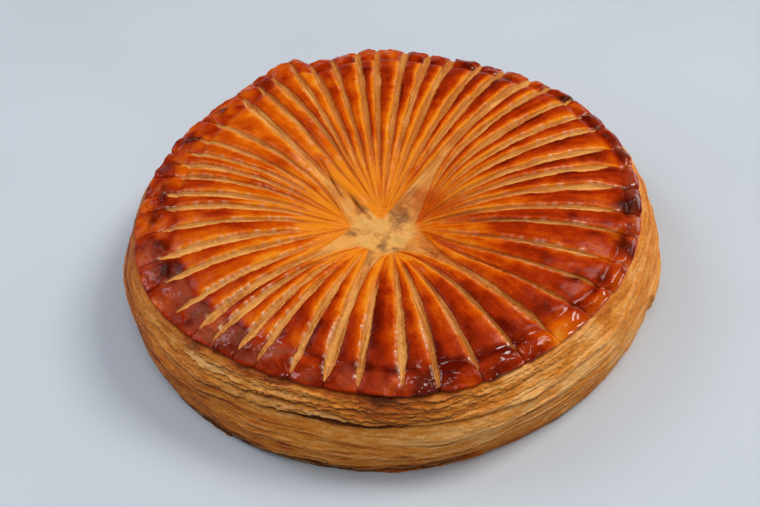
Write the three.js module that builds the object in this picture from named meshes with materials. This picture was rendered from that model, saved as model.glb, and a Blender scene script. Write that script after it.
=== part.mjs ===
// Galette des rois: a round, uncut puff-pastry pie with a scored and glazed lid.
//
// The pie is one closed solid, in millimetres, +Z up. It rests on z = 0, and
// the origin lies under the middle of its bounding box. -Y is the front.
//
// The surface is a stack of closed loops of points. The loops start at the
// meeting point of the cuts, run out over the lid to its rim, go down the
// layered wall, and end at the foot. A flat face closes the bottom.

import * as THREE from 'three';

// ---------------------------------------------------------------- the body

const footRadius = 130.0;
const rimRadius = 123.7;
const rimHeight = 42.8;
const lidShift = new THREE.Vector2(1.7, -0.2); // the lid has slid a little on the foot
const bulge = 4.2; // how far the wall swells out between foot and rim
const bulgePower = 1.3; // a higher power swells less near the foot and the rim
const bulgeLean = 0.9; // more of it on one side, less on the other
const bulgeBearing = -11;

// Unevenness of an outline: [waves round the pie, amplitude, bearing of a crest].
const rimWaves = [[3, 0.75, -30], [4, 1.9, 13.5], [6, 0.9, 31]];
const footWaves = [[1, 0.4, 265], [4, 0.9, 255]];

// Where the rim is drawn in: [bearing, spread in degrees, depth].
const rimDents = [[103, 6, 2.6], [70, 9, 2.0], [25, 8, 1.4]];

// A corner of the crust at the back has lifted, and breaks off at a cut.
const flap = { from: 130, peak: 111, breakOff: 107.4, out: 3.2, up: 2.8, root: 0.8 };

// ---------------------------------------------------------------- the lid

const cutCentre = new THREE.Vector2(-2.3, -19.5); // where all cuts meet
const domeRise = 12.0; // the filling lifts the lid above its rim
const domePower = 4.2; // a higher power makes a flatter top with a steeper shoulder
const dimpleDepth = 11.8; // the lid sinks again where the cuts meet
const dimpleRadius = 42;
const stepPlace = 0.9; // edge of the filling, as a share of the way to the rim
const stepLean = 0.05; // it lies further out on the right
const stepDepth = 1.3;
const stepWidth = 3.0;
const stepEnd = 0.97; // the step fades between here and the rim
const bandPillow = 1.5; // puffed crust between the edge of the filling and the rim
const stripPillow = 1.3; // crown of a strip between two cuts
const patchRadius = 13; // bare patch where the cuts meet
const patchFade = 13;
const patchDepth = 1.6;

const cutDepth = 2.6;
const cutWidth = 4.0;
const wideCutWidth = 5.8;
// Round these bearings the cuts are narrower: bearing, spread in degrees, and by what share.
const slender = [[345, 42, 0.45], [150, 40, 0.25]];
const cutTaper = 0.13; // share of its length over which a cut runs out at the rim
const rimNotch = 0.35; // what is left of its depth at the rim
const deepestSlope = 0.4; // most that a cut's depth may be of the spacing of the cuts
const widestShare = 0.3; // most that half its width may be
const crownSlope = 0.2; // most that a strip's crown may be

// Sectors of the lid, each begun by one cut: its bearing in degrees, whether it
// is a wide one, how many cuts follow it, and how much these crowd to the end.
const sectors = [
  { bearing: 46.9, wide: true, cuts: 12, crowding: 0.2 },
  { bearing: 128.8, wide: true, cuts: 2, crowding: 0.6 },
  { bearing: 154.8, wide: false, cuts: 4, crowding: -0.25 },
  { bearing: 185.8, wide: false, cuts: 3, crowding: 0.1 },
  { bearing: 220.5, wide: true, cuts: 4, crowding: -0.3 },
  { bearing: 253.2, wide: true, cuts: 5, crowding: -0.14 },
  { bearing: 305.1, wide: true, cuts: 12, crowding: 0.2 },
];
const cutUnevenness = 0.6; // degrees

// Cuts bow sideways in two places: bearing, spread in degrees, and mm at the middle.
const bows = [[271, 14, 3.6], [324, 15, -4.2], [128, 4, 4.5], [120, 3, -3.0]];

// ---------------------------------------------------------------- the wall

// Leaves of pastry from the rim down: the height of the lower edge, how far the
// edge wanders up and down, how far the leaf stands proud, and the depth of the
// crevice under it.
const leaves = [
  { edge: 39.8, wander: 0.4, proud: 0.2, crevice: 0.7 },
  { edge: 36.4, wander: 0.8, proud: 0.5, crevice: 1.0 },
  { edge: 33.0, wander: 1.0, proud: 0.9, crevice: 1.3 },
  { edge: 29.0, wander: 1.2, proud: 1.2, crevice: 2.0 },
  { edge: 20.4, wander: 1.4, proud: 1.2, crevice: 1.5 },
  { edge: 11.6, wander: 1.4, proud: 0.9, crevice: 1.4 },
  { edge: 6.8, wander: 0.8, proud: 0.6, crevice: 0.9 },
  { edge: 3.2, wander: 0.5, proud: 0.5, crevice: 1.3 },
  { edge: 0.0, wander: 0.0, proud: 0.3, crevice: 0.9 },
];
const crack = { leaf: 3, bearing: 260, spread: 16, depth: 2.6, rise: 1.8 }; // gaping crevice at the front
const lipHeight = 0.7; // of the rounded lower edge of a leaf
const bellyPlace = 0.35; // share of the way down a leaf's face
const bellyShare = 0.7; // how proud it stands there, beside its lower edge

// ---------------------------------------------------------------- fineness

// Places of the loops on the lid: inside the edge of the filling, as shares of
// the way to it, and outside, as shares of the way on to the rim.
const fieldRings = [0.06, 0.13, 0.22, 0.33, 0.45, 0.58, 0.7, 0.82, 0.93, 1.0];
const bandRings = [0.3, 0.7, 1.0];
const hubOffset = new THREE.Vector2(17, -23); // hub of the bottom face, clear of the origin

// ---------------------------------------------------------------- helpers

const { degToRad: radians, radToDeg, lerp, smoothstep, clamp, euclideanModulo } = THREE.MathUtils;

function bearingGap(a, b) {
  return euclideanModulo(a - b + 180, 360) - 180;
}

function waves(bearing, terms) {
  const wave = ([count, amplitude, crest]) => amplitude * Math.cos(radians(count * (bearing - crest)));
  return terms.reduce((sum, term) => sum + wave(term), 0);
}

function bell(distance, width) {
  return Math.exp(-((distance / width) ** 2));
}

// Sum of swellings at a bearing, each given as [bearing, spread in degrees, size].
function swellings(bearing, terms) {
  const swelling = ([at, spread, size]) => size * bell(bearingGap(bearing, at), spread);
  return terms.reduce((sum, term) => sum + swelling(term), 0);
}

// ---------------------------------------------------------------- cuts

// How wide the cuts are at a bearing, beside their full width.
function openness(bearing) {
  return 1 - swellings(bearing, slender);
}

function listCuts() {
  const cuts = [];
  sectors.forEach((sector, index) => {
    const next = sectors[(index + 1) % sectors.length];
    const span = euclideanModulo(next.bearing - sector.bearing, 360);
    for (let k = 0; k <= sector.cuts; k += 1) {
      const share = k / (sector.cuts + 1);
      const eased = share + sector.crowding * share * (1 - share);
      const uneven = k === 0 ? 0 : cutUnevenness * Math.sin(2.4 * cuts.length);
      const bearing = sector.bearing + span * eased + uneven;
      const width = (sector.wide && k === 0 ? wideCutWidth : cutWidth) * openness(bearing);
      cuts.push({ bearing, width });
    }
  });
  return cuts;
}

// ---------------------------------------------------------------- the lid

// How far the lifted corner has risen at a bearing, 0 to 1.
function flapRise(bearing) {
  const gap = bearingGap(bearing, flap.peak);
  if (gap > 0) {
    return 1 - smoothstep(gap, 0, flap.from - flap.peak);
  }
  return smoothstep(gap, flap.breakOff - flap.peak, 0);
}

function rimPoint(bearing) {
  const radius = rimRadius + waves(bearing, rimWaves) - swellings(bearing, rimDents) + flap.out * flapRise(bearing);
  const angle = radians(bearing);
  return new THREE.Vector2(Math.cos(angle), Math.sin(angle)).multiplyScalar(radius).add(lidShift);
}

// The edge of the filling, as a share of the way from the cuts' centre to the rim.
function stepShare(bearing) {
  return stepPlace + stepLean * Math.cos(radians(bearing - 10));
}

// A point of the lid in plan, on the slightly bowed line from the cuts' centre to the rim.
function lidPlan(bearing, share) {
  const reach = rimPoint(bearing).sub(cutCentre);
  const across = new THREE.Vector2(-reach.y, reach.x).normalize();
  const aside = 4 * swellings(bearing, bows) * share * (1 - share);
  return cutCentre.clone().addScaledVector(reach, share).addScaledVector(across, aside);
}

// Dome, dimple and step of the lid, before the cuts and strips.
function lidHeight(point, bearing, share) {
  const radius = rimPoint(bearing).sub(lidShift).length();
  const fromMiddle = Math.min(point.distanceTo(lidShift) / radius, 1);
  const dome = domeRise * (1 - fromMiddle ** domePower);
  const dimple = dimpleDepth * bell(point.distanceTo(cutCentre), dimpleRadius);
  const fromStep = (share - stepShare(bearing)) * radius;
  const step = stepDepth * bell(fromStep, stepWidth) * (1 - smoothstep(share, stepEnd, 1));
  const lift = flap.up * flapRise(bearing) * smoothstep(share, flap.root, 1);
  return rimHeight + dome - dimple - step + lift;
}

// A point of the lid at a height above its smooth surface, which fades into the
// bare patch round the cuts' centre.
function lidPoint(bearing, shareOf, relief) {
  const share = shareOf(bearing);
  const place = lidPlan(bearing, share);
  const strips = smoothstep(place.distanceTo(cutCentre), patchRadius, patchRadius + patchFade);
  const height = lidHeight(place, bearing, share) + lerp(-patchDepth, relief, strips);
  return new THREE.Vector3(place.x, place.y, height);
}

// One loop of the lid, four points for each cut: its bottom, its far lip, the
// crown of the next strip, and the near lip of the next cut.
function lidLoop(cuts, shareOf) {
  return cuts.flatMap((cut, index) => {
    const next = cuts[(index + 1) % cuts.length];
    const gap = euclideanModulo(next.bearing - cut.bearing, 360);
    const middle = cut.bearing + gap / 2;
    const share = shareOf(middle);
    const spacing = radians(gap) * rimRadius * share;
    const runOut = 1 - (1 - rimNotch) * smoothstep(share, 1 - cutTaper, 1);
    const inBand = smoothstep(share, stepShare(middle), 1);

    const bottom = -Math.min(cutDepth, deepestSlope * spacing) * runOut;
    const crown = Math.min(stripPillow, crownSlope * spacing) + 4 * bandPillow * inBand * (1 - inBand);
    const lipTurn = (width) => {
      const half = Math.min((width / 2) * runOut, widestShare * spacing);
      return radToDeg(half / (rimRadius * share));
    };
    return [
      lidPoint(cut.bearing, shareOf, bottom),
      lidPoint(cut.bearing + lipTurn(cut.width), shareOf, 0),
      lidPoint(middle, shareOf, crown),
      lidPoint(next.bearing - lipTurn(next.width), shareOf, 0),
    ];
  });
}

function lidLoops(cuts) {
  const field = fieldRings.map((ring) => lidLoop(cuts, (bearing) => ring * stepShare(bearing)));
  const band = bandRings.map((ring) => lidLoop(cuts, (bearing) => lerp(stepShare(bearing), 1, ring)));
  return [...field, ...band];
}

// ---------------------------------------------------------------- the wall

// Radius of the smooth wall at a bearing and a height, about its own axis.
function wallRadius(bearing, rim, height) {
  const share = clamp(height / rimHeight, 0, 1);
  const foot = footRadius + waves(bearing, footWaves);
  const most = bulge + bulgeLean * Math.cos(radians(bearing - bulgeBearing));
  return lerp(foot, rim, share) + most * Math.sin(Math.PI * share) ** bulgePower;
}

// How far the crack has opened under leaf number k at a bearing, 0 to 1.
function gape(k, bearing) {
  return k === crack.leaf ? bell(bearingGap(bearing, crack.bearing), crack.spread) : 0;
}

// Height at which leaf number k ends, and the depth of the crevice under it.
function leafEdge(k, bearing) {
  const { edge, wander } = leaves[k];
  const slow = Math.sin(radians(3 * bearing + 75 * k));
  const quick = Math.sin(radians(8 * bearing + 140 * k));
  return edge + wander * (0.6 * slow + 0.4 * quick) + crack.rise * gape(k, bearing);
}

function creviceDepth(k, bearing) {
  const uneven = 0.75 + 0.25 * Math.sin(radians(5 * bearing + 110 * k));
  return leaves[k].crevice * uneven + crack.depth * gape(k, bearing);
}

function leafFace(k, bearing) {
  const slow = Math.sin(radians(4 * bearing + 95 * k));
  const quick = Math.sin(radians(11 * bearing + 50 * k));
  return leaves[k].proud * (1 + 0.6 * slow + 0.4 * quick);
}

// Loops of the wall from the rim down: belly, lower lip and crevice of every leaf.
function wallLoops(rimLoop) {
  const rimEvery = rimLoop.filter((_, index) => index % 2 === 0);
  const rows = [];
  leaves.forEach((leaf, k) => {
    const topOf = (bearing, rimZ) => (k === 0 ? rimZ : leafEdge(k - 1, bearing));
    const last = k === leaves.length - 1;
    const belly = (bearing, rimZ) => [
      lerp(topOf(bearing, rimZ), leafEdge(k, bearing), bellyPlace),
      bellyShare * leafFace(k, bearing),
    ];
    const lip = (bearing) => [leafEdge(k, bearing) + lipHeight, leafFace(k, bearing)];
    const crevice = (bearing) => [leafEdge(k, bearing), -creviceDepth(k, bearing)];
    rows.push(...(k === 0 || last ? [lip, crevice] : [belly, lip, crevice]));
  });
  return rows.map((row) => rimEvery.map((rimPointHere) => {
    const outward = new THREE.Vector2(rimPointHere.x, rimPointHere.y).sub(lidShift);
    const bearing = radToDeg(outward.angle());
    const [height, proud] = row(bearing, rimPointHere.z);
    const radius = wallRadius(bearing, outward.length(), height) + proud;
    const axis = lidShift.clone().multiplyScalar(clamp(height / rimHeight, 0, 1));
    const place = outward.normalize().multiplyScalar(radius).add(axis);
    return new THREE.Vector3(place.x, place.y, Math.max(height, 0));
  }));
}

// ---------------------------------------------------------------- the solid

// Triangles between two loops of equal length, the first inside or above the second.
function bridge(indices, upper, lower, count) {
  for (let i = 0; i < count; i += 1) {
    const j = (i + 1) % count;
    indices.push(upper + i, lower + i, lower + j);
    indices.push(upper + i, lower + j, upper + j);
  }
}

// Triangles from a loop down to one with half as many points.
function bridgeToHalf(indices, upper, lower, lowerCount) {
  const upperCount = 2 * lowerCount;
  for (let i = 0; i < lowerCount; i += 1) {
    const j = (i + 1) % lowerCount;
    const [left, middle, right] = [2 * i, 2 * i + 1, (2 * i + 2) % upperCount].map((n) => upper + n);
    indices.push(left, lower + i, middle);
    indices.push(middle, lower + i, lower + j);
    indices.push(middle, lower + j, right);
  }
}

// Triangles between a hub and the loop round it, seen from above or from below.
function fan(indices, hub, loop, count, fromAbove) {
  for (let i = 0; i < count; i += 1) {
    const j = (i + 1) % count;
    indices.push(hub, ...(fromAbove ? [loop + i, loop + j] : [loop + j, loop + i]));
  }
}

function galetteGeometry() {
  const lid = lidLoops(listCuts());
  const wall = wallLoops(lid.at(-1));
  const middle = lidPoint(0, () => 0, 0);
  const hub = new THREE.Vector3(hubOffset.x, hubOffset.y, 0);

  const points = [middle];
  const starts = [];
  for (const loop of [...lid, ...wall]) {
    starts.push(points.length);
    points.push(...loop);
  }
  points.push(hub);

  const indices = [];
  const lidCount = lid[0].length;
  const wallCount = wall[0].length;
  fan(indices, 0, starts[0], lidCount, true);
  for (let k = 1; k < lid.length; k += 1) {
    bridge(indices, starts[k - 1], starts[k], lidCount);
  }
  bridgeToHalf(indices, starts[lid.length - 1], starts[lid.length], wallCount);
  for (let k = lid.length + 1; k < starts.length; k += 1) {
    bridge(indices, starts[k - 1], starts[k], wallCount);
  }
  fan(indices, points.length - 1, starts.at(-1), wallCount, false);

  const geometry = new THREE.BufferGeometry().setFromPoints(points);
  geometry.setIndex(indices);
  geometry.computeBoundingBox();
  const centre = geometry.boundingBox.getCenter(new THREE.Vector3());
  geometry.translate(-centre.x, -centre.y, -geometry.boundingBox.min.z);
  geometry.computeVertexNormals();
  return geometry;
}

const crust = new THREE.MeshStandardMaterial({ color: '#9c4a12', roughness: 0.45, metalness: 0 });

const galette = new THREE.Mesh(galetteGeometry(), crust);
galette.name = 'galette';

const group = new THREE.Group();
group.add(galette);

export default group;
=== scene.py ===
"""A galette des rois: a round, uncut puff-pastry pie with a scored and glazed lid.

The packed solid is the fixed frame. The lid, the leaves of the side and the
sole are fine surfaces that stand for it and follow its form.
"""

import math
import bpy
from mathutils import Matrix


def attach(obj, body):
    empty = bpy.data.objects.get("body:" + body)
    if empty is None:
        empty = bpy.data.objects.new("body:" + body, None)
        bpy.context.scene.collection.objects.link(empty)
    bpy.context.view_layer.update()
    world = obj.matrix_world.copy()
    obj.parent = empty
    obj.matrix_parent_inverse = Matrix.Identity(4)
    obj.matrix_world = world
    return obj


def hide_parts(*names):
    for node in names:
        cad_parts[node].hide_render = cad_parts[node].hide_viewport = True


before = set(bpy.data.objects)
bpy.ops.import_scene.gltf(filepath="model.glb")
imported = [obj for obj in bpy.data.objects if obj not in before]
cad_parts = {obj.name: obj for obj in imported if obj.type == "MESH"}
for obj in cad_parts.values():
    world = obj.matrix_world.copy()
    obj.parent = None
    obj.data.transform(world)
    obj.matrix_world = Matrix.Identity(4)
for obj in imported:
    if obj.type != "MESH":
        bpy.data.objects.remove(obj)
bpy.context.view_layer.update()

from types import SimpleNamespace

import bpy
import numpy as np
from bpy.props import FloatProperty, FloatVectorProperty, PointerProperty
from mathutils import Matrix, Vector

bl_info = {
    "name": "Galette des rois",
    "version": (1, 0, 0),
    "blender": (4, 5, 0),
    "location": "View3D > Sidebar > Galette",
    "description": "Builds a baked puff-pastry pie with a scored, glazed lid over its solid",
    "category": "Add Mesh",
}

NODE = "galette"
BODY = "root"
MM = 0.001

# ------------------------------------------------------------ form of the solid
# Lengths are in metres and bearings in degrees, counted from +X towards +Y.

FOOT_AXIS = np.array([-1.14, -0.20]) * MM  # axis of the foot, beside the middle of the box
LID_AXIS = FOOT_AXIS + np.array([1.7, -0.2]) * MM
CUT_CENTRE = FOOT_AXIS + np.array([-2.3, -19.5]) * MM

# Unevenness of an outline: waves round the pie, amplitude in mm, bearing of a crest.
RIM_WAVES = [(3, 0.75, -30), (4, 1.9, 13.5), (6, 0.9, 31)]
FOOT_WAVES = [(1, 0.4, 265), (4, 0.9, 255)]
# Where the rim is drawn in: bearing, spread in degrees, depth in mm.
RIM_DENTS = [(103, 6, 2.6), (70, 9, 2.0), (25, 8, 1.4)]
BULGE_POWER, BULGE_LEAN, BULGE_BEARING = 1.3, 0.9 * MM, -11
FLAP = {"from": 130, "peak": 111, "break_off": 107.4, "out": 3.2 * MM, "up": 2.8 * MM, "root": 0.8}

DOME_POWER = 4.2
DIMPLE_RADIUS = 42 * MM
# Edge of the filling: share of the way to the rim, how far it leans and where to, then its furrow.
STEP_PLACE, STEP_LEAN, STEP_BEARING = 0.9, 0.05, 10
STEP_DEPTH, STEP_WIDTH, STEP_END = 1.3 * MM, 2.4 * MM, 0.97
PATCH_RADIUS, PATCH_FADE, PATCH_DEPTH = 13 * MM, 13 * MM, 1.6 * MM

DEEPEST_SLOPE, CROWN_SLOPE = 0.4, 0.2  # most depth of a cut and crown of a strip for its width
# Sectors of the lid: bearing of the first cut, whether it is wide, cuts that follow, crowding.
SECTORS = [
    (46.9, True, 12, 0.2), (128.8, True, 2, 0.6), (154.8, False, 4, -0.25),
    (185.8, False, 3, 0.1), (220.5, True, 4, -0.3), (253.2, True, 5, -0.14),
    (305.1, True, 12, 0.2),
]
CUT_UNEVENNESS, CUT_RHYTHM = 0.6, 2.4  # degrees that a cut lies off its rule, and how that alternates
# Cuts that are bowed aside: bearing, spread in degrees, sagitta in mm.
BOWS = [(271, 14, 3.6), (324, 15, -4.2), (128, 4, 4.5), (120, 3, -3.0)]
# How the cuts opened in the oven, by bearing: share of their full width, share of the way
# to the rim at which they close, and how toasted they are.
OPENINGS = [
    (8, 1.0, 0.93, 0.05), (28, 0.95, 0.99, 0.25), (50, 1.10, 1.06, 0.60), (75, 1.00, 1.06, 0.80),
    (105, 0.90, 1.02, 0.75), (135, 0.80, 0.95, 0.50), (165, 0.85, 0.91, 0.08), (190, 0.95, 0.92, 0.05),
    (205, 1.00, 0.965, 0.25), (235, 1.05, 0.995, 0.35), (262, 0.95, 1.0, 0.35), (285, 0.75, 1.0, 0.55),
    (310, 0.62, 0.97, 0.85), (335, 0.70, 0.93, 0.40),
]

# Leaves of the side from the rim down, in mm: lower edge, wander of that edge,
# how far the leaf stands proud, depth of the crevice under it.
LEAVES = [
    (39.8, 0.4, 0.2, 0.7), (36.4, 0.8, 0.5, 1.0), (33.0, 1.0, 0.9, 1.3),
    (29.0, 1.2, 1.2, 2.0), (20.4, 1.4, 1.2, 1.5), (11.6, 1.4, 0.9, 1.4),
    (6.8, 0.8, 0.6, 0.9), (3.2, 0.5, 0.5, 1.3), (0.0, 0.0, 0.3, 0.9),
]
CRACK = {"leaf": 3, "bearing": 260, "spread": 16, "depth": 2.6 * MM, "rise": 1.8 * MM}

# ------------------------------------------------------------ how the oven treated it, and painted light and shade

# Stretches round the pie that puffed, flaked or browned in their own way, or where light, shade or sheen is
# painted: bearing and spread in degrees.
ZONES = {
    # Form of the lid.
    "calm_back": (95, 50), "shallow_step": (222, 40), "torn_cuts": (235, 40),
    "puffed_band": (340, 45), "low_band": (145, 35), "full_band": (325, 50),
    # Beads, streaks and froth of wash, partly painted glints.
    "dry_front": (272, 52), "dry_right": (10, 40), "dry_back": (85, 45), "few_beads": (150, 22),
    "front_streaks": (246, 42), "back_streaks": (100, 35), "fine_beads": (240, 40),
    "glinting_beads": (238, 36), "froth_and_glints": (135, 5),
    # Bake of the lid, with painted light, shade and sheen.
    "weak_lip_light": (232, 34), "lit_side_contrast": (0, 50), "brown_arm": (5, 50), "brown_strips": (75, 35),
    "even_band": (165, 34), "faint_cuts": (332, 36), "grey_star": (40, 35), "matt_band": (175, 62),
    "glossy_edge": (325, 40), "shaded_arm": (8, 45), "sheen_front": (226, 34), "sheen_right": (358, 20),
    # Side, with a few stretches of painted light and shade.
    "calm": (CRACK["bearing"], 18), "pale_side": (325, 42), "ragged": (240, 48), "smooth": (180, 38),
    "crumbly_right": (320, 60), "crumbly_front": (265, 30), "crack_end": (284, 12), "crack_gapes": (259, 9),
    "low_front": (255, 50), "eyelid": (296, 3.2), "eye": (296, 3.6), "pale_corner": (305, 25),
    "scorched_foot": (236, 44), "brown_ledge": (267, 7), "painted_light_front": (255, 40), "fair_left": (224, 28),
    "brightened_leaf": (262, 24), "plain_lips": (262, 30),
}
# Strips that browned more or less than the rest: bearing, spread in degrees,
# the shares of the way to the rim between which it sets in, amount.
BROWNED = [
    (292, 36, 0.2, 0.5, 0.12), (255, 45, 0.3, 0.5, 0.08),
    (196, 32, 0.4, 0.75, 0.07), (125, 40, -1, 0, -0.10),
]
# Pale patches on the strips: bearing, spread in degrees, share of the way to the rim, spread, amount.
PALE_PATCHES = [(113, 9, 0.85, 0.12, 0.22), (305, 6, 0.8, 0.1, 0.20)]
# The same for the band outside the filling: bearing, spread in degrees, amount.
BAND_BROWNED = [(195, 40, 0.04), (306, 7, -0.36), (265, 25, 0.12), (90, 32, -0.18)]

# ------------------------------------------------------------ settings of the add-on


def setting(name, description, default, **kind):
    """A number that a user may change, with its unit or subtype."""
    return FloatProperty(name=name, description=description, default=default, **kind)


def length(name, description, default):
    """A length in metres that a user may change."""
    return setting(name, description, default, unit="LENGTH", precision=4)


def linear(code):
    """Turns an sRGB hex colour into linear red, green and blue."""
    values = [int(code[place : place + 2], 16) / 255 for place in (1, 3, 5)]
    return tuple(v / 12.92 if v <= 0.04045 else ((v + 0.055) / 1.055) ** 2.4 for v in values)


def colour(name, description, code):
    """A colour that a user may change, given as sRGB hex."""
    return FloatVectorProperty(
        name=name, description=description, default=linear(code), subtype="COLOR", size=3, min=0, max=1
    )


class GaletteSizes(bpy.types.PropertyGroup):
    """Sizes of the pie."""

    foot_radius: length("Foot radius", "Radius of the side where it meets the table", 130.0 * MM)
    rim_radius: length("Rim radius", "Mean radius of the lid's edge", 123.7 * MM)
    rim_height: length("Rim height", "Height of the lid's edge", 42.8 * MM)
    bulge: length("Bulge", "How far the side swells between foot and rim", 4.2 * MM)
    dome_rise: length("Dome", "How far the filling lifts the lid", 12.0 * MM)
    dimple_depth: length("Dimple", "How far the lid sinks where the cuts meet", 11.8 * MM)
    cut_width: length("Cut width", "Width of a cut across its lips", 4.0 * MM)
    wide_cut_width: length("Wide cut width", "Width of the five main cuts", 5.8 * MM)
    cut_depth: length("Cut depth", "Depth of a cut", 2.6 * MM)
    lip_rise: length("Lip", "How far the lips of a cut curl up", 0.35 * MM)
    strip_crown: length("Strip crown", "How far a strip between two cuts puffs up", 1.1 * MM)
    band_pillow: length("Band pillow", "How far the crust outside the filling puffs up", 1.5 * MM)
    bead: length("Bead", "Size of the beads that the wash leaves on the lips", 0.7 * MM)


class GaletteColours(bpy.types.PropertyGroup):
    """Colours of the bake."""

    wash_pale: colour("Palest wash", "Egg wash over barely browned crust", "#e88618")
    wash_gold: colour("Golden wash", "Egg wash over golden crust", "#d65c00")
    wash_brown: colour("Brown wash", "Egg wash over brown crust", "#a82c00")
    wash_dark: colour("Darkest wash", "Egg wash that pooled and browned most", "#600e00")
    # Also the painted shade in cracks and on the arm that faces away from the window.
    char: colour("Char", "Scorched spots", "#340c02")
    # Painted sheen: a mauve tone for the room's soft reflection on the band.
    dull: colour("Dull wash", "Thick wash that dried without gloss on the band", "#8c4a36")
    # Partly real froth, partly painted glints of wet beads.
    froth_and_glints: colour("Froth", "Wash that bubbled up along the lips of the cuts", "#ffdab4")
    crumb: colour("Crumb", "Bare pastry inside a cut", "#e4a456")
    crumb_shade: colour("Crumb, toasted", "Toasted pastry inside a cut", "#b4601e")
    heart_pale: colour("Heart, pale", "Bare pastry where the cuts meet", "#dca65c")
    heart_grey: colour("Heart, dry", "Dry patches where the cuts meet", "#94643a")
    # Also the painted highlight on proud leaf edges.
    pale_edge_and_highlight: colour("Pale leaf edge", "Thin raw-looking edge of a leaf", "#fbbb6e")
    leaf_gold: colour("Golden leaf", "Face of a leaf", "#e28828")
    leaf_brown: colour("Browned leaf", "Browned face of a leaf", "#bc580e")
    # Also the painted shade in crevices and under overhangs of the leaves.
    dark_bake_and_shade: colour("Crevice", "Baked dark between two leaves", "#642a06")
    sole: colour("Sole", "Underside that lay on the tray", "#7b4620")


class GaletteStage(bpy.types.PropertyGroup):
    """Floor, lights and camera."""

    floor: colour("Floor", "Pale table top", "#cad1d9")
    key_power: setting("Key light", "Power of the window light", 40.5, unit="POWER")
    top_power: setting("Top light", "Power of the light above", 4.5, unit="POWER")
    far_power: setting("Far window", "Power of the window across the room", 11.0, unit="POWER")
    sky: setting("Sky", "Strength of the pale surroundings", 0.30, subtype="FACTOR")
    elevation: setting("Elevation", "Camera's angle above the table", math.radians(44.15), subtype="ANGLE")
    roll: setting("Roll", "Camera's turn about its own axis", math.radians(-4.5), subtype="ANGLE")
    distance: length("Distance", "From the camera to the point it looks at", 725.1 * MM)
    lens: setting("Lens", "Focal length on a 36 mm sensor", 66.3, unit="CAMERA")


# ------------------------------------------------------------ helpers on whole arrays


def mix(a, b, amount):
    return a + (b - a) * amount


def unit(x):
    """Holds x between zero and one."""
    return np.clip(x, 0, 1)


def ease(x, low=0.0, high=1.0):
    """Zero below low, one above high, and a smooth step between."""
    t = unit((x - low) / (high - low))
    return t * t * (3 - 2 * t)


def bell(x, width):
    return np.exp(-((x / width) ** 2))


def arch(x):
    """Zero at 0 and at 1, and a parabola up to one between."""
    return 1 - (2 * x - 1) ** 2


def turn_between(a, b):
    """Signed angle from b to a in degrees, -180 to 180."""
    return np.mod(a - b + 180, 360) - 180


def waves(bearing, terms):
    """Sum of cosines round the pie, in metres, from terms in mm."""
    return sum(size * MM * np.cos(np.radians(count * (bearing - crest))) for count, size, crest in terms)


def swellings(bearing, terms):
    """Sum of bells round the pie, from terms of bearing, spread in degrees and size."""
    return sum(size * bell(turn_between(bearing, at), spread) for at, spread, size in terms)


def noise(around, along, cells, seed):
    """Smooth noise, -1 to 1: seeded values on a lattice, joined by smooth steps. It wraps in around."""
    across, down = cells
    table = np.random.default_rng(seed).uniform(-1, 1, (across, down + 2))
    x, y = np.mod(around, 1) * across, unit(along) * down
    i, j = np.floor(x).astype(int), np.floor(y).astype(int)
    fx, fy = ease(x - i), ease(y - j)
    i, k = i % across, (i + 1) % across
    return mix(mix(table[i, j], table[i, j + 1], fy), mix(table[k, j], table[k, j + 1], fy), fx)


PLAN = 300 * MM  # side of the square over which noise in plan is laid


class Grid(SimpleNamespace):
    """The arrays of one surface, with a value for each point or column of its grid."""

    def zone(self, name):
        """One in the middle of a named stretch round the pie, and nothing far from it."""
        at, spread = ZONES[name]
        return bell(turn_between(self.bearing, at), spread)

    def wobble(self, cells, seed):
        """Noise round the pie, the same from row to row."""
        return noise(self.bearing / 360, 0.5, (cells, 2), seed)

    def spots(self, size, seed):
        """Noise over the plan of the pie, with spots of about the given size in mm."""
        cells = max(int(PLAN / (size * MM)), 1)
        return noise(self.x / PLAN + 0.5, self.y / PLAN + 0.5, (cells, cells), seed)

    def fibres(self, place, per_cut, along, seed):
        """Noise that runs with the cuts: place is how far round a point lies, in whole turns."""
        return noise(place, self.part, (self.count * per_cut, along), seed)

    def grain(self, around, up, seed):
        """Noise over the unrolled side, with that many cells round the pie and up."""
        return noise(self.bearing / 360, self.up, (around, up), seed)


def grid_normals(points):
    """Unit normals of a (rows, columns, 3) grid that closes round its columns: rows run down or out."""
    down = np.gradient(points, axis=0)
    round_ = np.roll(points, -1, axis=1) - np.roll(points, 1, axis=1)
    normal = np.cross(down, round_)
    return normal / np.maximum(np.linalg.norm(normal, axis=2, keepdims=True), 1e-12)


def spots_round(bearing, part, reach, spots):
    """Sum of round bumps on the lid given as bearing, share of the way out, radius in mm and strength."""
    total = 0
    for at, out, radius, strength in spots:
        away = np.hypot(np.radians(turn_between(bearing, at)) * part * reach, (part - out) * reach)
        total += strength * bell(away, radius * MM)
    return total


# ------------------------------------------------------------ meshes


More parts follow.
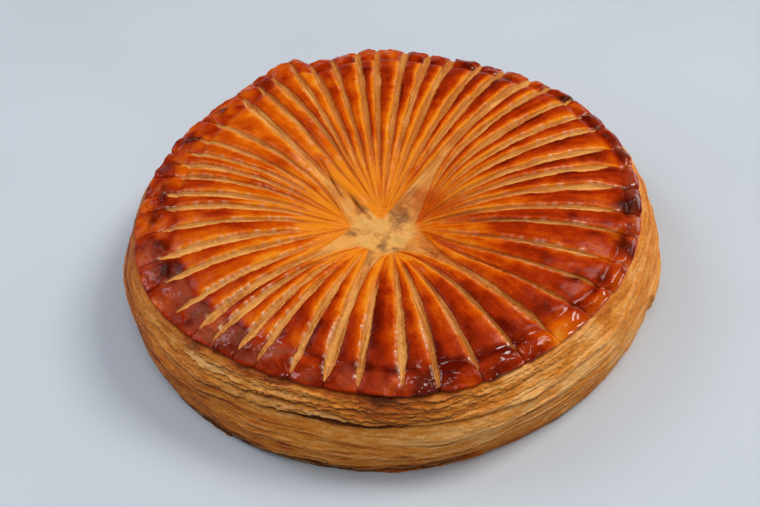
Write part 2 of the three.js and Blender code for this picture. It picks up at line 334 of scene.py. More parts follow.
def add_piece(name, vertices, faces, material, values=None, normals=None):
    """Makes a smooth mesh from arrays, with named values on its points, that stands for the solid."""
    mesh = bpy.data.meshes.new(name)
    mesh.vertices.add(len(vertices))
    mesh.vertices.foreach_set("co", np.asarray(vertices, np.float32).ravel())
    counts = np.concatenate([np.full(len(part), part.shape[1]) for part in faces])
    mesh.loops.add(int(counts.sum()))
    mesh.loops.foreach_set("vertex_index", np.concatenate([part.ravel() for part in faces]).astype(np.int32))
    mesh.polygons.add(len(counts))
    mesh.polygons.foreach_set("loop_start", np.concatenate([[0], np.cumsum(counts)[:-1]]).astype(np.int32))
    mesh.polygons.foreach_set("use_smooth", np.ones(len(counts), bool))
    mesh.update(calc_edges=True)
    for key, value in (values or {}).items():
        attribute = mesh.attributes.new(key, "FLOAT", "POINT")
        attribute.data.foreach_set("value", np.asarray(value, np.float32).ravel())
    if normals is not None:
        mesh.normals_split_custom_set_from_vertices(np.asarray(normals, np.float32).reshape(-1, 3))
    mesh.materials.append(material)
    piece = bpy.data.objects.new(name, mesh)
    bpy.context.scene.collection.objects.link(piece)
    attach(piece, BODY)
    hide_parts(NODE)
    return piece


def grid_faces(rows, columns, closed=False):
    """Quads between neighbouring rows of a grid that closes round its columns, and if asked its rows."""
    here = np.arange(rows * columns).reshape(rows, columns)
    below, beside = np.roll(here, -1, axis=0), np.roll(here, -1, axis=1)
    quads = np.stack([here, below, np.roll(below, -1, axis=1), beside], axis=-1)
    return (quads if closed else quads[:-1]).reshape(-1, 4)


def cut_rows(rows, points, normals, values):
    """The same rows of the points, the normals and each named value."""
    return points[rows], normals[rows], {key: value[rows] for key, value in values.items()}


def add_ring(name, grid, axis, inset, material):
    """A ring-shaped body: a visible grid, closed behind by its last and first rows moved into the pie.

    inset is the share of the way to the axis by which those rows move in, and how far they sink.
    """
    points, normals, values = grid
    share, drop = inset
    hidden = points[[-1, 0]]
    hidden += ((np.array([*axis, 0]) - hidden) * [share, share, 0] - [0, 0, drop])
    whole = np.concatenate([points, hidden])
    bent = np.concatenate([normals, -normals[[-1, 0]]])
    kept = {key: np.concatenate([value, value[[-1, 0]]]) for key, value in values.items()}
    faces = grid_faces(*whole.shape[:2], closed=True)
    return add_piece(name, whole.reshape(-1, 3), [faces], material, kept, bent)


# ------------------------------------------------------------ form shared by lid and side


def flap_rise(bearing):
    """How far the lifted corner at the back has risen: a slow rise, then a break at a cut."""
    gap = turn_between(bearing, FLAP["peak"])
    slow = 1 - ease(gap, 0, FLAP["from"] - FLAP["peak"])
    steep = ease(gap, FLAP["break_off"] - FLAP["peak"], 0)
    return np.where(gap > 0, slow, steep)


def rim_reach(sizes, bearing):
    """Distance of the rim from the lid's axis: a circle with waves, dents and the flap."""
    drawn_in = swellings(bearing, RIM_DENTS) * MM
    return sizes.rim_radius + waves(bearing, RIM_WAVES) - drawn_in + FLAP["out"] * flap_rise(bearing)


def step_share(bearing):
    """Edge of the filling, as a share of the way from the cuts' centre to the rim."""
    return STEP_PLACE + STEP_LEAN * np.cos(np.radians(bearing - STEP_BEARING))


def list_cuts(sizes):
    """Bearing, width and rank of each cut: sectors, each with evenly eased cuts after its first."""
    bearings, widths, mains = [], [], []
    for (start, wide, count, crowding), after in zip(SECTORS, SECTORS[1:] + SECTORS[:1]):
        span = (after[0] - start) % 360
        for k in range(count + 1):
            part = k / (count + 1)
            uneven = CUT_UNEVENNESS * math.sin(CUT_RHYTHM * len(bearings)) if k else 0
            bearings.append(start + span * (part + crowding * part * (1 - part)) + uneven)
            mains.append(wide and not k)
            widths.append(sizes.wide_cut_width if mains[-1] else sizes.cut_width)
    return np.array(bearings), np.array(widths), np.array(mains)


# ------------------------------------------------------------ lid

# Columns of the grid across half a cut, across half a main cut and across a strip.
CUT_COLUMNS, MAIN_COLUMNS, STRIP_COLUMNS = 6, 12, 14
# Rings of the lid: name, first row, rows. A row at 1 lies on the edge of the filling, at 2 on the rim.
LID_RINGS = (
    ("lid_crown", 0.01, 72), ("lid_middle", 0.36, 70), ("lid_shoulder", 0.70, 68), ("rim_band", 1.0, 60),
)
LID_INSET = (0.05, 6 * MM)  # share of the way to the axis that hidden rows move in, and how far they sink
HUB_DEPTH = 12 * MM  # how far the crown's hidden hub lies under the visible one
EDGE_ROWS = 9  # rows of the rounded edge of the lid's skin
EDGE_END = math.radians(176)  # how far that edge turns under
SKIN = 0.8 * MM  # radius of that edge
# Between two main cuts the others start together, that far from the centre, one value per pair.
FAN_STARTS = np.array([8, 15, 14, 17, 16]) * MM
FAN_LENGTH, FAN_PINCH = 10 * MM, 0.12
CREASE = 0.35 * MM  # half the width of a cut where it has closed
CLOSING = 0.12  # share of the way to the rim over which a cut closes
WIDEST_SHARE = 0.25  # most that half a cut may take of the room between two cuts
CUT_ORIGINS = (16 * MM, 46 * MM)  # nearest and farthest place from the centre where a cut begins to open
BEAD_PITCH, BEAD_LENGTH = 3.8 * MM, 0.36  # beads of wash along a lip: spacing, and length as a share of it
STREAK_RUN = 150 * MM  # length of a lip over which the streaks of wash are laid
STAR_ARM = 36 * MM  # length of the bare arms along the main cuts

# Scorched spots: bearing, share of the way to the rim, radius in mm, strength.
SCORCHED = [
    (192, 0.905, 4.5, 0.9), (201, 0.90, 5.0, 1.0), (181, 0.93, 4.0, 0.6), (169, 0.93, 4.0, 0.6),
    (160, 0.93, 4.0, 0.5), (150, 0.93, 4.5, 0.7), (136, 0.94, 4.0, 0.6), (61, 0.95, 3.5, 0.6),
    (52, 0.95, 4.0, 0.6), (35, 0.96, 4.5, 0.6), (350, 0.93, 5.0, 0.9), (340, 0.93, 4.5, 0.8),
    (323, 0.86, 3.0, 0.9), (262, 0.90, 3.5, 0.3),
]
# Small blisters: bearing, share, radius and height in mm.
BLISTERS = [
    (323, 0.875, 3.2, 1.3), (313, 0.93, 5.0, 1.2), (331, 0.95, 4.0, 1.2), (344, 0.95, 4.5, 1.6),
    (352, 0.965, 4.0, 1.6), (301, 0.94, 4.0, 0.9), (247, 0.93, 3.5, 0.8), (205, 0.95, 5.0, 1.0),
]
# Cracks near the cuts' centre: bearing and distance in mm of both ends, half width, depth.
CRACKS = [
    (131, 26, 121, 62, 0.5, 1.1), (118, 7, 122.5, 31, 0.7, 1.4),
    (318, 20, 313, 40, 0.6, 0.6), (52, 18, 45, 31, 0.6, 0.5),
]


def fan_grid(sizes):
    """The lid's grid of (rows, columns): rows are rings from the cuts' centre to the rim.

    Columns follow the cuts. For each cut they go from its bottom to its lip, over
    the strip to the next lip, and down to the next bottom. Between two main cuts
    the others run together a little way out from the centre, so the bare star in
    the middle has an arm along each main cut.
    """
    bearings, widths, mains = list_cuts(sizes)
    count = len(bearings)
    strip = 1 + np.arange(STRIP_COLUMNS) / STRIP_COLUMNS
    codes = []
    for k in range(count):
        first, last = (MAIN_COLUMNS if mains[n % count] else CUT_COLUMNS for n in (k, k + 1))
        codes.append(np.concatenate([np.arange(first) / first, strip, 2 + np.arange(last) / last]))
    cut = np.repeat(np.arange(count), [len(item) for item in codes])
    # A column's code is 0 in a cut's bottom, 1 on its lip, 2 on the next lip and 3 in the next bottom.
    code = np.concatenate(codes)
    after = (cut + 1) % count
    gap = np.mod(np.roll(bearings, -1) - bearings, 360)[cut]

    _, lows, counts = zip(*LID_RINGS)
    rings = zip(lows, (*lows[1:], 2), counts)
    ring = np.concatenate([np.linspace(low, high, rows, endpoint=False) for low, high, rows in rings])
    ring = np.append(ring, 2.0)[:, None]

    def share_at(bearing):
        step = step_share(bearing)
        return np.where(ring <= 1, ring * step, mix(step, 1, ring - 1))

    middle_share = share_at(bearings[cut] + gap / 2)
    spacing = np.radians(gap) * sizes.rim_radius * middle_share
    at, *columns = np.array(OPENINGS).T
    opening, closes, toasting = (np.interp(bearings, at, column, period=360) for column in columns)

    def half_width(which, seed):
        """Half the width of a cut: it grows outwards, wanders, and closes near the band."""
        wander = 1 + 0.28 * noise(which / count, middle_share, (count, 11), 11)
        wander += 0.14 * noise(which / count, middle_share, (count, 75), seed)
        own = 1 + 0.22 * noise(which / count, 0.5, (count, 3), 12)
        grow = 0.12 + 0.88 * ease(middle_share, -0.15, 0.78)
        end = closes[which] + 0.1 * CLOSING * np.sin(2.7 * which)
        open_part = np.sqrt(1 - ease(middle_share, end - CLOSING, end))
        full = widths[which] / 2 * grow * wander * own * opening[which] * open_part
        return np.minimum(np.maximum(full, CREASE), WIDEST_SHARE * spacing)

    half, half_after = half_width(cut, 13), half_width(after, 14)
    to_turn = np.degrees(1 / (sizes.rim_radius * middle_share))
    lip, lip_after = half * to_turn, half_after * to_turn
    turn = np.where(
        code < 1, lip * code,
        np.where(code < 2, mix(lip, gap - lip_after, code - 1), gap - lip_after * (3 - code)),
    )
    bearing = bearings[cut] + turn
    to_lip = np.minimum(np.minimum(code, 3 - code), 1)
    nearer_first = code < 1.5

    main_numbers = np.flatnonzero(mains)
    sector = np.searchsorted(main_numbers, cut, side="right") - 1
    start = bearings[main_numbers][sector]
    span = np.mod(np.roll(bearings[main_numbers], -1) - bearings[main_numbers], 360)[sector]
    away = np.clip(sizes.rim_radius * middle_share - FAN_STARTS[sector], 0, None)
    pinch = (1 - FAN_PINCH) * np.exp(-away / FAN_LENGTH)
    beside_main = np.where(nearer_first, mains[cut], mains[after])
    bearing = bearing - (bearing - (start + span / 2)) * pinch * np.where(beside_main, to_lip, 1)

    bow = swellings(bearings, BOWS) * MM
    origin = np.where(mains, 0, mix(*CUT_ORIGINS, 0.5 + 0.5 * np.sin(2.1 * np.arange(count))))
    across = unit(code - 1)
    strip_width = spacing - half - half_after
    arrays = {
        "bearing": bearing,
        "part": share_at(bearing),
        "cut": np.where(nearer_first, cut, after) / count,
        "strip": cut / count,
        "spacing": spacing,
        "half": np.where(nearer_first, half, half_after),
        "toasting": np.where(nearer_first, toasting[cut], toasting[after]),
        "inside": (code < 1) | (code > 2),
        "to_lip": to_lip,
        "side_of_cut": np.where(nearer_first, code, 3 + code),
        "across": across,
        "before": across * strip_width,
        "behind": (1 - across) * strip_width,
        "bow": mix(bow[cut], bow[after], across),
        "origin": mix(origin[cut], origin[after], across),
        "wide": beside_main,
        "fan_start": FAN_STARTS[sector],
    }
    return Grid(count=count, **{key: np.broadcast_to(value, bearing.shape) for key, value in arrays.items()})


def lid_plan(sizes):
    """Lays the grid out in plan, and measures what the relief and the bake are worked out from.

    A point lies on the line from the cuts' centre to the rim, moved aside by the
    bow of its cut. Between two cuts the rim scallops a little.
    """
    lid = fan_grid(sizes)
    part, angle = lid.part, np.radians(lid.bearing)
    lid.reach = rim_reach(sizes, lid.bearing)
    lid.out = np.stack([np.cos(angle), np.sin(angle)], axis=-1)
    lid.arch = arch(lid.across)
    lid.at_back = lid.zone("calm_back")
    scallop = (0.7 * lid.arch**0.5 * ~lid.inside - 0.5) * (1 - 0.6 * lid.at_back)
    uneven = 0.5 * lid.wobble(95, 33) + 0.3 * lid.wobble(260, 34) + scallop
    to_rim = lid.reach - SKIN + uneven * MM * ease(part, 0.85, 1)
    path = LID_AXIS + lid.out * to_rim[..., None] - CUT_CENTRE
    aside = np.stack([-path[..., 1], path[..., 0]], axis=-1) / np.linalg.norm(path, axis=-1, keepdims=True)
    place = CUT_CENTRE + path * part[..., None] + aside * (4 * lid.bow * part * (1 - part))[..., None]
    lid.x, lid.y = place[..., 0], place[..., 1]

    lid.from_axis = np.minimum(np.hypot(lid.x - LID_AXIS[0], lid.y - LID_AXIS[1]) / lid.reach, 1)
    lid.from_centre = np.hypot(lid.x - CUT_CENTRE[0], lid.y - CUT_CENTRE[1])
    lid.step = step_share(lid.bearing)
    lid.to_step = (part - lid.step) * lid.reach + 1.5 * MM * lid.spots(14, 50)
    lid.coarse, lid.wrinkle, lid.fine = lid.spots(9, 51), lid.spots(4, 53), lid.spots(1.8, 52)
    lid.begun = ease(lid.from_centre, lid.origin - 10 * MM, lid.origin + 12 * MM)
    lid.across_cut = lid.cut + lid.side_of_cut / (6.5 * lid.count)
    lid.lit = -0.88 * np.sin(angle) - 0.47 * np.cos(angle)  # how far a lip faces the window
    lid.arm_of_star = lid.wide * (1 - lid.to_lip) * bell(lid.from_centre, STAR_ARM)
    lid.bare = 1 - ease(lid.from_centre, PATCH_RADIUS, PATCH_RADIUS + PATCH_FADE)
    lid.cracks = crack_depth(lid.x, lid.y)
    return lid


def crack_depth(x, y):
    """Narrow furrows along straight lines near the cuts' centre, in metres."""

    def end(bearing, distance):
        angle = math.radians(bearing)
        return CUT_CENTRE + distance * MM * np.array([math.cos(angle), math.sin(angle)])

    total = 0
    for turn_a, far_a, turn_b, far_b, half, depth in CRACKS:
        a, b = end(turn_a, far_a), end(turn_b, far_b)
        run = b - a
        along = ((x - a[0]) * run[0] + (y - a[1]) * run[1]) / (run @ run)
        off = np.hypot(x - a[0] - run[0] * along, y - a[1] - run[1] * along)
        ends = ease(along, 0, 0.2) * (1 - ease(along, 0.6, 1))
        total += depth * MM * bell(off, half * MM) * ends
    return total


def dabs_along(along, cut, seed):
    """Round dabs on the line of each cut, one per pitch, each with its own place and strength."""
    table = np.random.default_rng(seed).uniform(0, 1, (2, 64, 128))
    number = np.floor(along / BEAD_PITCH).astype(int)
    shift, strength = table[:, np.round(cut).astype(int) % 64, number % 128]
    off = along / BEAD_PITCH - number - mix(0.3, 0.7, shift)
    return unit(2.8 * strength - 1.1) * bell(off, BEAD_LENGTH)


def wash_on_lips(lid):
    """Beads and streaks of wash along the lips that face the window, partly painted glints, and how beaded a
    place is.
    """
    along, outer = lid.part * lid.reach, ease(lid.part, 0.5, 0.75)
    sparse = (0.85 * lid.zone("dry_front") + 0.7 * lid.zone("dry_right")) * (1 - outer)
    beaded = unit(1 - 0.97 * lid.zone("dry_back") - sparse) * (1 - 0.4 * lid.zone("few_beads"))
    streaked = 1.2 * lid.zone("front_streaks") * outer + 0.45 * lid.zone("back_streaks")
    streaks = noise(lid.cut, along / STREAK_RUN, (lid.count, 40), 42)
    broken = unit(0.45 + 1.3 * noise(lid.cut, along / STREAK_RUN, (lid.count, 105), 43))
    dabs = 0.7 * dabs_along(along, lid.cut * lid.count, 41) * beaded
    dabs = unit(dabs + unit(2.4 * streaks - 0.3) * streaked * broken)
    from_lit_lip = np.where(lid.lit > 0, lid.behind, lid.before) + 2 * (1 - lid.to_lip) * lid.half
    wet = dabs * bell(from_lit_lip - 0.3 * MM, (0.62 - 0.24 * lid.zone("fine_beads")) * MM)
    wet = wet * ease(lid.from_centre, 28 * MM, 50 * MM)
    return wet * (1 - ease(lid.part, lid.step + 0.05, lid.step + 0.10)), beaded


def lid_base(lid, sizes):
    """Height without cuts: rim plus flat-topped dome, minus a dimple and a furrow round the filling."""
    furrow = (0.8 - 0.45 * lid.zone("shallow_step")) * bell(lid.to_step, STEP_WIDTH)
    furrow = furrow * (1 - ease(lid.part, STEP_END, 1))
    return (
        sizes.rim_height
        + sizes.dome_rise * (1 - lid.from_axis**DOME_POWER)
        - sizes.dimple_depth * bell(lid.from_centre, DIMPLE_RADIUS)
        - STEP_DEPTH * furrow
        + FLAP["up"] * flap_rise(lid.bearing) * ease(lid.part, FLAP["root"], 1)
        + 0.5 * MM * lid.wobble(80, 35) * ease(lid.part, 0.9, 1)
    )


def cut_relief(lid, sizes):
    """Relief inside a cut: a rounded V, not so deep where cuts crowd, with torn crumb in it."""
    depth = np.minimum(np.minimum(sizes.cut_depth, 0.3 * MM + 0.5 * lid.half), DEEPEST_SLOPE * lid.spacing)
    depth = depth * (1 + 0.25 * lid.fibres(lid.cut, 1, 18, 21)) * mix(0.15, 1, lid.begun)
    depth = depth * (1 - 0.5 * lid.at_back * ease(lid.part, lid.step, lid.step + 0.05))
    torn = 0.28 * lid.fibres(lid.across_cut, 26, 30, 22)
    torn += 0.22 * lid.fibres(lid.across_cut, 48, 110, 23)
    torn = torn * (1 - 0.5 * lid.at_back + 0.5 * lid.zone("torn_cuts")) * MM
    torn = torn * ease(lid.half, CREASE, 3 * CREASE)
    return (torn - depth) * (1 - lid.to_lip**3)


def strip_relief(lid, sizes):
    """Relief between two cuts: the crown of the strip, the pillow, folds and blisters of the band."""
    crown = np.minimum(sizes.strip_crown, CROWN_SLOPE * lid.spacing) * lid.arch**0.6
    crown = crown * mix(0.2, 1, lid.begun)
    in_band = ease(lid.part, lid.step, 1)
    full = 1.35 * in_band**1.5 * (1 - in_band**7)
    profile = mix(4 * in_band * (1 - in_band), full, lid.zone("full_band"))
    puffed = 0.40 + 0.80 * lid.zone("puffed_band") - 0.2 * lid.zone("low_band")
    puffed += 0.3 * noise(lid.strip, 0.5, (lid.count, 3), 31)
    pillow = sizes.band_pillow * profile * puffed * lid.arch**0.4 * (1 - 0.4 * lid.at_back)
    folds = (1 - np.abs(lid.spots(6, 54))) ** 4 - 0.3
    creased = (0.35 * folds + 0.35 * lid.wrinkle + 0.25 * lid.fine) * MM
    creased = creased * ease(lid.part, lid.step - 0.02, lid.step + 0.04)
    blisters = spots_round(lid.bearing, lid.part, lid.reach, BLISTERS) * MM
    return crown + pillow + creased + blisters


def lid_height(lid, sizes, wet):
    """Height of the lid: its base, cuts and strips with curled lips and beads, and the torn bare star."""
    curl = np.where(lid.inside, lid.to_lip**5, bell(np.minimum(lid.before, lid.behind), 0.9 * MM))
    lips = sizes.lip_rise * curl * ease(lid.spacing, 2 * MM, 9 * MM) * lid.begun
    relief = np.where(lid.inside, cut_relief(lid, sizes), strip_relief(lid, sizes)) + sizes.bead * wet + lips
    relief += (0.3 * lid.coarse + 0.12 * lid.wrinkle + 0.05 * lid.fine) * MM
    crumbs = (0.8 * lid.spots(5, 62) + 0.5 * lid.spots(2, 63) + 0.25 * lid.spots(1.1, 61)) * MM
    height = lid_base(lid, sizes) + mix(relief, crumbs - PATCH_DEPTH, lid.bare)
    return height + 0.5 * crumbs * lid.arm_of_star * (1 - lid.bare) - lid.cracks


def lid_edge(last, out, sizes):
    """The rounded edge of the lid's skin: the last row carried round an arc and turned under."""
    lean = math.atan(DOME_POWER * sizes.dome_rise / sizes.rim_radius)
    roll = np.linspace(lean, EDGE_END, EDGE_ROWS + 1)[1:, None]
    outwards, up = SKIN * (np.sin(roll) - math.sin(lean)), SKIN * (np.cos(roll) - math.cos(lean))
    return last + np.stack([out[:, 0] * outwards, out[:, 1] * outwards, up + 0 * out[:, 0]], axis=-1)


def lid_toast(lid):
    """How brown the wash is: baked paler in the middle and darker on the band, with painted light on lit lips
    and painted shade on shaded ones.
    """
    part = lid.part
    grade = ease(lid.spacing, 2.5 * MM, 7 * MM)
    # Painted light and shade: lips that face the window are paler, and each strip is darker towards its other
    # lip.
    painted_lip_light = mix(bell(lid.before, 1.5 * MM), bell(lid.behind, 1.5 * MM), 0.5 + 0.5 * lid.lit)
    painted_lip_light = painted_lip_light * (1 - 0.4 * lid.zone("weak_lip_light")) * ~lid.inside * mix(0.3, 1, grade)
    toast = 0.13 + 0.43 * ease(lid.from_centre, 16 * MM, 75 * MM) - 0.34 * painted_lip_light
    toast = toast - (0.24 + 0.16 * lid.zone("lit_side_contrast")) * lid.lit * (2 * lid.across - 1) * grade
    toast += 0.14 * lid.coarse + 0.07 * lid.wrinkle
    for at, spread, low, high, amount in BROWNED:
        toast += amount * bell(turn_between(lid.bearing, at), spread) * ease(part, low, high)
    for at, spread, out, run, amount in PALE_PATCHES:
        toast -= amount * bell(turn_between(lid.bearing, at), spread) * bell(part - out, run)
    toast += (0.08 + 0.12 * bell(lid.from_centre, 55 * MM)) * lid.zone("brown_arm")
    toast += 0.16 * lid.arch * ease(part, 0.45, 0.85) * lid.zone("brown_strips")
    across_strip = lid.strip + lid.across / lid.count
    toast += 0.14 * lid.fibres(lid.strip, 1, 6, 32)
    toast += 0.10 * lid.fibres(across_strip, 5, 12, 57) * grade
    toast += 0.06 * lid.fibres(across_strip, 11, 40, 58) * grade

    even = lid.zone("even_band")
    band = 0.72 - 0.12 * even + 0.30 * lid.spots(10, 55) + 0.16 * lid.wrinkle
    band += 0.22 * bell(lid.to_step, 3 * MM) * (1 - 0.8 * even) + swellings(lid.bearing, BAND_BROWNED)
    return mix(toast, band, ease(lid.to_step, -5 * MM, 2 * MM))


def bare_crumb(lid):
    """Where the crumb is bare: inside the cuts that opened, and round the centre up to the fans' apexes."""
    near_centre = lid.wide * bell(lid.from_centre, STAR_ARM)
    open_cut = np.maximum(ease(lid.half, 1.3 * CREASE, 2.4 * CREASE), near_centre)
    blunt = mix(0.17, 0.07 + 0.05 * lid.wrinkle, lid.wide * bell(lid.from_centre, 30 * MM))
    bare_part = np.where(lid.inside, ease(1 - lid.to_lip, 0.0, blunt), 0) * open_cut * mix(0.1, 1, lid.begun)
    fade = 1 - 0.4 * lid.zone("faint_cuts") * (1 - ease(lid.part, 0.55, 0.8))
    main = lid.wide * bell(lid.from_centre, 45 * MM) ** 0.5
    fade = fade * (0.55 + 0.45 * np.maximum(ease(lid.part, 0.2, 0.6), main))
    from_apex = lid.from_centre - lid.fan_start + 2 * MM * lid.spots(5, 69)
    return unit(np.maximum(bare_part * fade, 1 - ease(from_apex, -2 * MM, 3 * MM)))


def lid_values(lid, wet, beaded):
    """The values that the lid's material reads at each point."""
    part, cracks = lid.part, lid.cracks / MM
    pale = bare_crumb(lid)
    shade = lid.toasting + 0.50 * lid.fibres(lid.across_cut, 26, 12, 64)
    shade += 0.25 * lid.fibres(lid.cut, 1, 8, 65)
    mottled = 0.56 + 0.55 * lid.spots(8, 66) + 0.25 * lid.spots(3, 68)
    mottled += 0.35 * lid.zone("grey_star") * bell(lid.from_centre - 16 * MM, 10 * MM)

    char = np.clip(spots_round(lid.bearing, part, lid.reach, SCORCHED) * (1 + 0.7 * lid.wrinkle), 0, 0.8)
    pooled = 0.15 + 0.5 * lid.zone("full_band") + 0.9 * lid.spots(12, 67)
    pooled = pooled * (1 - 0.8 * lid.zone("matt_band"))
    pooled += 0.8 * ease(part, 0.97, 0.99) * lid.zone("glossy_edge")
    pooled = mix(0.04, np.clip(pooled, 0.03, 1), ease(lid.to_step, -4 * MM, 0.5 * MM)) * (1 - 1.1 * char)
    # Cracks are darkened with the char colour: painted shade in them.
    char = np.maximum(char, 0.3 * unit(cracks))
    # The arm past the dimple that faces away from the window is darkened: painted shade.
    char += 0.16 * lid.zone("shaded_arm") * bell(lid.from_centre - 36 * MM, 18 * MM)
    # Painted sheen on the band at the front and the right.
    dull = 0.7 * lid.zone("sheen_front") + 0.5 * lid.zone("sheen_right")
    dull = dull * ease(lid.to_step, -1 * MM, 3 * MM) * (1 - ease(part, 0.985, 1))
    dull = dull * unit(0.55 + 1.1 * lid.coarse - 0.5 * lid.wrinkle - 0.3 * lid.fine)
    # Painted highlights: a patch of pale froth for the soft sheen on the strips there, and paler beads where
    # they stand for glints.
    frothed = lid.zone("froth_and_glints") * bell(lid.from_centre - 46 * MM, 14 * MM) * ~lid.inside
    frothed = frothed * unit(0.3 + 1.6 * lid.spots(2.2, 56))
    bead = wet * (0.6 + 0.5 * lid.zone("glinting_beads")) + 0.5 * frothed
    return {
        "pale": pale,
        "toast": np.clip(lid_toast(lid), 0, 1.3),
        "char": char,
        # Cracks darken the bare crumb too: painted shade.
        "shade": np.clip(np.clip(shade, 0, 0.72) + 0.5 * cracks, 0, 1.4),
        "heart": unit(1.1 * np.maximum(lid.bare, lid.arm_of_star)),
        "dry": unit(mottled),
        "wet": unit(pooled * (1 - pale) + 1.4 * wet * beaded),
        "bead": unit(bead),
        "dull": unit(dull),
    }


def lid_surface(sizes):
    """Points of the lid, whose last rows round the skin's edge and turn under, and its material's values."""
    lid = lid_plan(sizes)
    wet, beaded = wash_on_lips(lid)
    points = np.stack([lid.x, lid.y, lid_height(lid, sizes, wet)], axis=-1)
    edge = lid_edge(points[-1], lid.out[-1], sizes)
    values = lid_values(lid, wet, beaded).items()
    values = {key: np.concatenate([value, np.repeat(value[-1:], EDGE_ROWS, axis=0)]) for key, value in values}
    return np.concatenate([points, edge]), values


# ------------------------------------------------------------ side

SIDE_COLUMNS, SIDE_ROWS = 1800, 52  # each of the rings of the side
SIDE_RINGS = ("upper_leaves", "middle_leaves", "lower_leaves", "foot_leaves")
SIDE_INSET = (0.08, 0)  # share of the way to the axis that hidden rows move in, and how far they sink
LID_SKIN = 0.9 * MM  # how far the leaves start under the lid's edge
TUCK, TUCK_DEPTH = 1.5 * MM, 3.5 * MM  # height over which their top turns in under it, and how far in
# Thinner leaves over the thick ones: pitch, least and greatest stand in mm, pieces round the pie, seed.
LEAF_LAYER = (4.0, 0.2, 1.9, 22, 200)
FLAKE_LAYER = (1.9, 0.1, 1.1, 48, 210)
CRUMB_LAYER = (0.85, 0.05, 0.55, 100, 220)


def side_outline(sizes, bearing, height):
    """Distance from the pie's leaning axis: from foot to rim, with a swelling between."""
    part = unit(height / sizes.rim_height)
    foot = sizes.foot_radius + waves(bearing, FOOT_WAVES)
    swelling = sizes.bulge + BULGE_LEAN * np.cos(np.radians(bearing - BULGE_BEARING))
    rise = unit(np.sin(np.pi * part)) ** BULGE_POWER
    return mix(foot, rim_reach(sizes, bearing), part) + swelling * rise


def leaf_lines(bearing):
    """Lower edge, face and crevice of each leaf at a bearing, in metres."""

    def sine(count, shift):
        return np.sin(np.radians(count * bearing + shift * k))

    lines = []
    for k, (edge, wander, proud, crevice) in enumerate(LEAVES):
        gape = bell(turn_between(bearing, CRACK["bearing"]), CRACK["spread"]) if k == CRACK["leaf"] else 0
        lines.append((
            (edge + wander * (0.6 * sine(3, 75) + 0.4 * sine(8, 140))) * MM + CRACK["rise"] * gape,
            proud * (1 + 0.6 * sine(4, 95) + 0.4 * sine(11, 50)) * MM,
            crevice * (0.75 + 0.25 * sine(5, 110)) * MM + CRACK["depth"] * gape,
        ))
    return lines


def own_noise(around, number, cells, seed):
    """Noise along each numbered leaf, -1 to 1, that its neighbours don't share."""
    table = np.random.default_rng(seed).uniform(-1, 1, (cells, 64))
    x = np.mod(around, 1) * cells
    i = np.floor(x).astype(int)
    fx, row = ease(x - i), number % 64
    return mix(table[i % cells, row], table[(i + 1) % cells, row], fx)


def overlapping_leaves(side, warp, layer):
    """Leaves laid over each other: how far they stand out, and which leaf is where.

    A leaf runs from its lower edge to the lower edge of the next. It leans: one of
    its edges stands proud, the lower or the upper, and which one changes along it.
    """
    pitch, small, large, pieces, seed = layer
    around = side.bearing / 360
    phase = side.level / (pitch * MM) + warp
    number = np.floor(phase).astype(int)
    part = phase - number
    lean = own_noise(around, number, pieces, seed) + 0.6 * own_noise(around, number, 4 * pieces, seed + 1)
    stand = mix(small, large, unit(np.abs(lean))) * MM
    from_edge = np.where(lean > 0, part, 1 - part)
    return stand * ((1 - from_edge) ** 1.6 - 0.4) + 0.25 * stand * arch(part), number


def blurred(values, reach):
    """Mean over that many rows above and below."""
    padded = np.pad(values, ((reach + 1, reach), (0, 0)), mode="edge")
    total = np.cumsum(padded, axis=0)
    return (total[2 * reach + 1 :] - total[: -2 * reach - 1]) / (2 * reach + 1)


def overhang(offset, row_height, reach):
    """Steepest slope from a point up to what stands out over it, within that many rows above."""
    steepest = 0 * offset
    for rows in range(1, reach + 1):
        over = np.zeros_like(offset)
        over[rows:] = (offset[:-rows] - offset[rows:]) / (rows * row_height)
        steepest = np.maximum(steepest, over)
    return steepest


def side_grid(sizes):
    """The side's grid of (rows, columns), down from under the lid's edge, and where it is calm or ragged.

    Level is the height that a point would have if the leaves lay flat.
    """
    side = Grid(bearing=np.arange(SIDE_COLUMNS) * 360 / SIDE_COLUMNS)
    side.top = sizes.rim_height - LID_SKIN + FLAP["up"] * flap_rise(side.bearing)
    side.height = side.top * (1 - np.linspace(0, 1, len(SIDE_RINGS) * SIDE_ROWS + 1)[:, None])
    side.up = up = side.height / sizes.rim_height
    side.calm, side.pale = side.zone("calm"), side.zone("pale_side")
    side.ragged = side.zone("ragged") * ease(up, 0.55, 0.75)
    side.crumbly = (0.35 + 0.65 * side.zone("crumbly_right")) * ease(up, 0.72, 0.86)
    side.crumbly += 0.5 * side.zone("crumbly_front") * ease(up, 0.6, 0.8)
    side.smooth = side.zone("smooth") * (1 - 0.6 * ease(up, 0.75, 0.95))
    side.slow, side.middle, side.quick = side.grain(13, 3, 71), side.grain(44, 8, 72), side.grain(230, 26, 73)
    settle = ease(up, 0.02, 0.2) * (1 - 0.6 * ease(up, 0.93, 1))
    side.level = side.height + (1.3 * side.slow + 0.7 * side.middle + 0.12 * side.quick) * MM * settle
    fault = np.clip(turn_between(side.bearing, CRACK["bearing"]) / 14, -1, 1)
    side.level += 1.6 * MM * side.calm * fault
    return side


